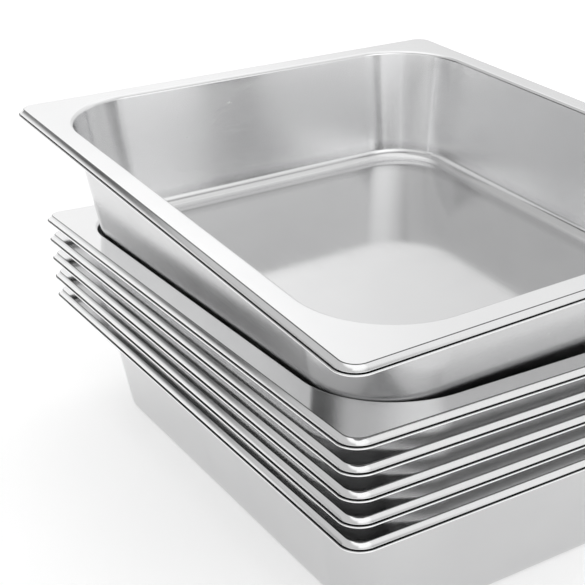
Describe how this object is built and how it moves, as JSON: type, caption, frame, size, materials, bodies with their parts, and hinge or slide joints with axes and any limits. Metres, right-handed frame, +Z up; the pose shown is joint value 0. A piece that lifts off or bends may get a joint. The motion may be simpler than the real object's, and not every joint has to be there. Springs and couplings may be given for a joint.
{
  "type": "steam table pan set",
  "caption": "Nested set of rectangular stainless steel food pans with drafted walls, rounded corners and flat flanged rims, the top one leaning in the mouth of the one below.",
  "frame": {"origin": "middle of the underside of the lowest pan's floor", "axes": "+Z up; +Y along the pans' long side; +X along their short side. The leaning pan's lowest corner is at -X, -Y"},
  "size_m": [0.2737, 0.3307, 0.1799],
  "materials": {
    "stainless_steel": "satin-polished stainless sheet, soft reflections, faint directional polishing lines"
  },
  "bodies": {
    "pan_1": {"pan_1": "stainless_steel"},
    "pan_2": {"pan_2": "stainless_steel"},
    "pan_3": {"pan_3": "stainless_steel"},
    "pan_4": {"pan_4": "stainless_steel"},
    "pan_5": {"pan_5": "stainless_steel"},
    "pan_6": {"pan_6": "stainless_steel"}
  },
  "joints": [
    {"name": "lift_pan_2", "type": "slide", "parent": "pan_1", "child": "pan_2", "axis": [0, 0, 1], "range_m": [0, 0.1]},
    {"name": "lift_pan_3", "type": "slide", "parent": "pan_2", "child": "pan_3", "axis": [0, 0, 1], "range_m": [0, 0.1]},
    {"name": "lift_pan_4", "type": "slide", "parent": "pan_3", "child": "pan_4", "axis": [0, 0, 1], "range_m": [0, 0.1]},
    {"name": "lift_pan_5", "type": "slide", "parent": "pan_4", "child": "pan_5", "axis": [0, 0, 1], "range_m": [0, 0.1]},
    {"name": "lift_pan_6", "type": "slide", "parent": "pan_5", "child": "pan_6", "axis": [0, 0, 1], "range_m": [0, 0.1]}
  ]
}
